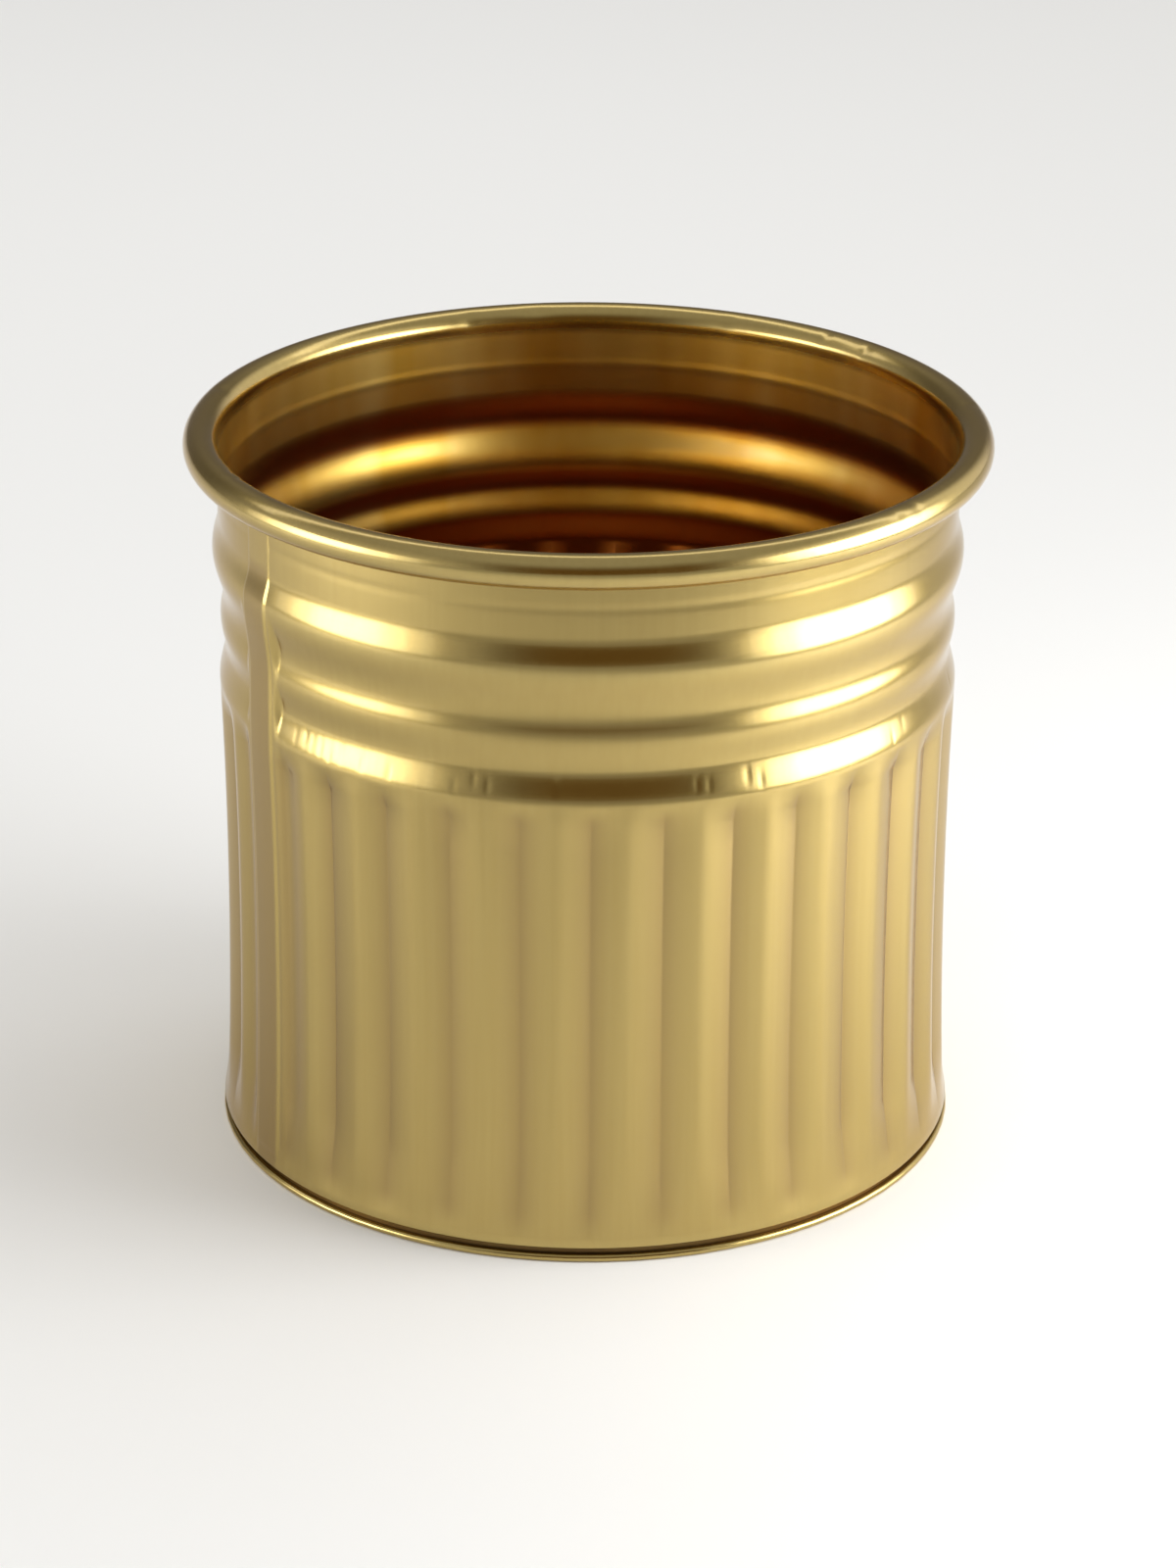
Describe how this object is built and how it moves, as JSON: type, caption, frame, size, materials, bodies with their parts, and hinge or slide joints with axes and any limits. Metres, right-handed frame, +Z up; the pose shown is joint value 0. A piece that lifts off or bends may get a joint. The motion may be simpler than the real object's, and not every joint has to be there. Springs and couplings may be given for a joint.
{
  "type": "cachepot",
  "caption": "Round sheet-metal cachepot with a curled rim, rolled beads, a fluted lower wall, an upright lock seam and a base plate hemmed over the wall's foot.",
  "frame": {"origin": "centre of the foot, on the surface the pot stands on", "axes": "+Z up out of the mouth; -Y is the front as pictured; the lock seam is at the front left, 149.2 degrees clockwise from +X seen from above"},
  "size_m": [0.13, 0.13, 0.12],
  "materials": {
    "gold_tinplate": "satin gold-coloured lacquer over thin sheet",
    "sealing_compound": "matte cured compound"
  },
  "bodies": {
    "root": {"rolled_wall": "gold_tinplate", "base_plate": "gold_tinplate", "seam_compound": "sealing_compound"}
  },
  "joints": []
}
